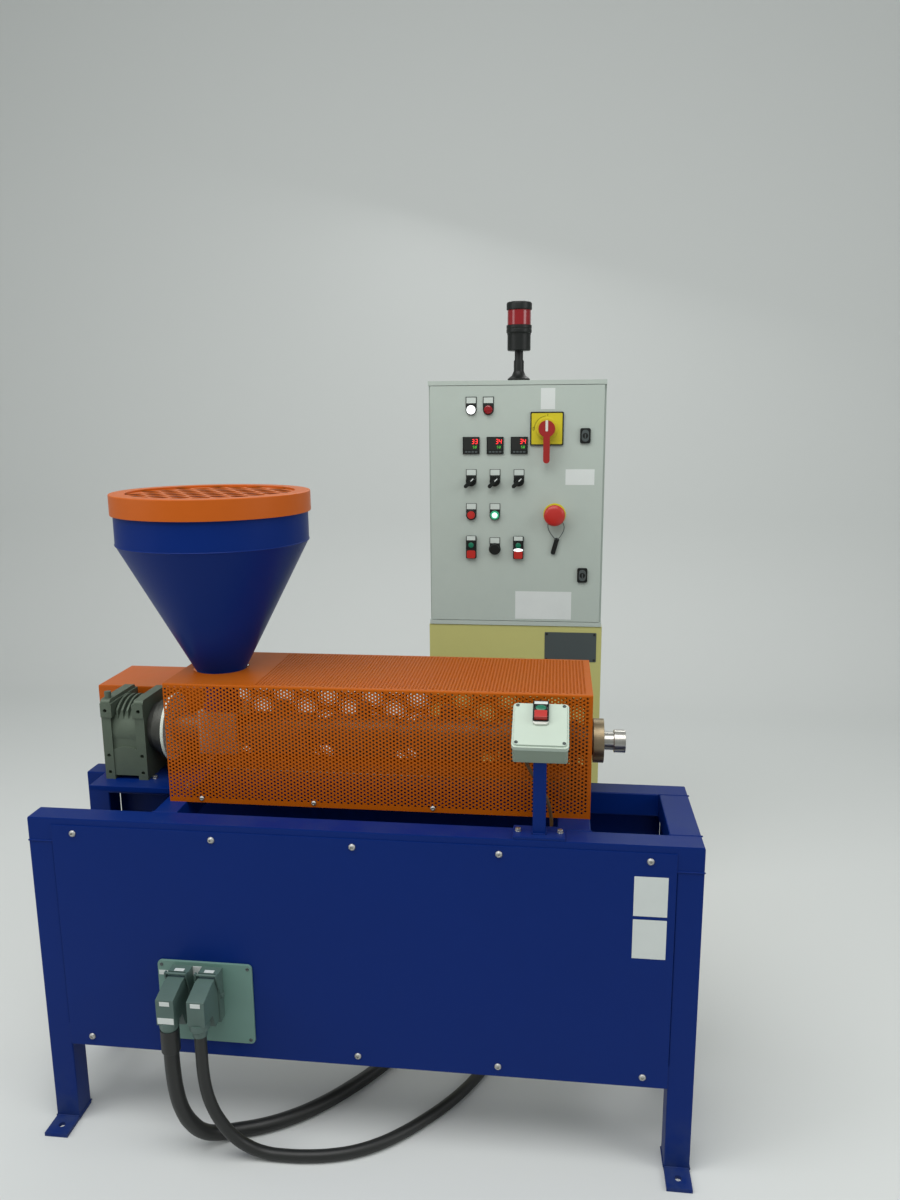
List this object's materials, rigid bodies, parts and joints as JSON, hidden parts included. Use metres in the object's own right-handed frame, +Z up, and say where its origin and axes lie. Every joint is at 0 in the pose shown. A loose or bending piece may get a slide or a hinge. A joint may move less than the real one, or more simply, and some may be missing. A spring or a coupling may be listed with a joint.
{
  "type": "plastic extruder",
  "caption": "Small single-screw plastic extruder on a blue tube frame, with round hopper, perforated barrel guard, start station and free-standing control cabinet.",
  "frame": {"origin": "on the floor, under the middle of the box round machine and cabinet", "axes": "+X along the barrel towards the die, +Y from the operator's side to the cabinet, +Z up"},
  "size_m": [1.332, 1.37, 1.798],
  "materials": {
    "blue_paint": "satin royal blue powder coat",
    "orange_paint": "satin orange powder coat",
    "cast_housing": "rough cast, unpainted",
    "dark_steel": "oiled dark steel",
    "white_flange": "white paint",
    "bright_steel": "turned steel",
    "band_sheet": "bright sheet with heat tint",
    "die_steel": "heat-tinted steel",
    "light_grey_plastic": "matte moulded",
    "ivory_plastic": "glossy moulded",
    "green_plastic": "glossy moulded",
    "red_plastic": "glossy moulded",
    "yellow_plastic": "glossy moulded",
    "black_plastic": "fine-grained moulded",
    "legend_plastic": "moulded",
    "plate_plastic": "grey-green moulded",
    "connector_metal": "grey enamelled die casting",
    "gland_plastic": "moulded",
    "black_cable": "smooth black sheath",
    "brown_cable": "smooth brown sheath",
    "cabinet_paint": "light grey textured powder coat",
    "stand_paint": "cream paint",
    "zinc_plate": "galvanised sheet",
    "seal_rubber": "black foam rubber",
    "lens_red": "ribbed red lens"
  },
  "bodies": {
    "machine": {"base_frame": "blue_paint", "foot_plates": "blue_paint", "front_panel": "blue_paint", "rear_panel": "blue_paint", "gearbox_plate": "blue_paint", "gearbox_housing": "cast_housing", "output_flange": "dark_steel", "thrust_flange": "white_flange", "drive_cover": "orange_paint", "feed_block": "bright_steel", "barrel": "bright_steel", "heater_bands": "band_sheet", "barrel_support": "dark_steel", "die_flange": "die_steel", "die_nozzle": "bright_steel", "barrel_guard": "orange_paint", "hopper_body": "blue_paint", "hopper_grille": "orange_paint", "hopper_collar": "orange_paint", "station_post": "blue_paint", "station_box": "light_grey_plastic", "station_lid": "light_grey_plastic", "twin_button_base": "ivory_plastic", "station_cable": "brown_cable", "station_glands": "gland_plastic", "connector_plate": "plate_plastic", "connector_sockets": "connector_metal", "plug_hood_1": "connector_metal", "plug_hood_2": "connector_metal", "supply_cable_1": "black_cable", "supply_cable_2": "black_cable", "cable_glands": "gland_plastic", "cabinet_stand": "stand_paint", "cabinet_body": "cabinet_paint", "mounting_plate": "zinc_plate", "beacon_base": "black_plastic", "beacon_lens": "lens_red", "beacon_cap": "black_plastic"},
    "door": {"cabinet_door": "cabinet_paint", "door_seal": "seal_rubber", "door_locks": "black_plastic", "temperature_controllers": "black_plastic", "indicator_lamps": "ivory_plastic", "legend_plates": "legend_plastic", "push_buttons": "black_plastic", "stop_collar": "yellow_plastic", "main_switch_plate": "yellow_plastic"},
    "main_switch": {"main_switch_handle": "red_plastic"},
    "emergency_stop": {"emergency_stop": "red_plastic"},
    "selector_1": {"selector_1": "black_plastic"},
    "selector_2": {"selector_2": "black_plastic"},
    "selector_3": {"selector_3": "black_plastic"},
    "speed_knob": {"speed_knob": "black_plastic"},
    "start_button": {"start_button": "green_plastic"},
    "stop_button": {"stop_button": "red_plastic"}
  },
  "joints": [
    {"name": "door_hinge", "type": "hinge", "parent": "machine", "child": "door", "pos_m": [0.026, 0.4175, 1.227], "axis": [0, 0, -1], "range_deg": [0, 120]},
    {"name": "main_switch_turn", "type": "hinge", "parent": "door", "child": "main_switch", "pos_m": [0.35, 0.4095, 1.444], "axis": [0, -1, 0], "range_deg": [0, 90]},
    {"name": "emergency_stop_push", "type": "slide", "parent": "door", "child": "emergency_stop", "axis": [0, 1, 0], "range_m": [0, 0.004]},
    {"name": "selector_1_turn", "type": "hinge", "parent": "door", "child": "selector_1", "pos_m": [0.137, 0.4095, 1.298], "axis": [0, -1, 0], "range_deg": [0, 90]},
    {"name": "selector_2_turn", "type": "hinge", "parent": "door", "child": "selector_2", "pos_m": [0.205, 0.4095, 1.298], "axis": [0, -1, 0], "range_deg": [0, 90]},
    {"name": "selector_3_turn", "type": "hinge", "parent": "door", "child": "selector_3", "pos_m": [0.273, 0.4095, 1.298], "axis": [0, -1, 0], "range_deg": [0, 90]},
    {"name": "speed_knob_turn", "type": "hinge", "parent": "door", "child": "speed_knob", "pos_m": [0.205, 0.4095, 1.103], "axis": [0, 1, 0], "range_deg": [0, 270]},
    {"name": "start_push", "type": "slide", "parent": "machine", "child": "start_button", "axis": [0, 0.5299, -0.848], "range_m": [0, 0.003], "stiffness_N_per_m": 500, "springref_m": -0.002},
    {"name": "stop_push", "type": "slide", "parent": "machine", "child": "stop_button", "axis": [0, 0.5299, -0.848], "range_m": [0, 0.003], "stiffness_N_per_m": 500, "springref_m": -0.002}
  ]
}
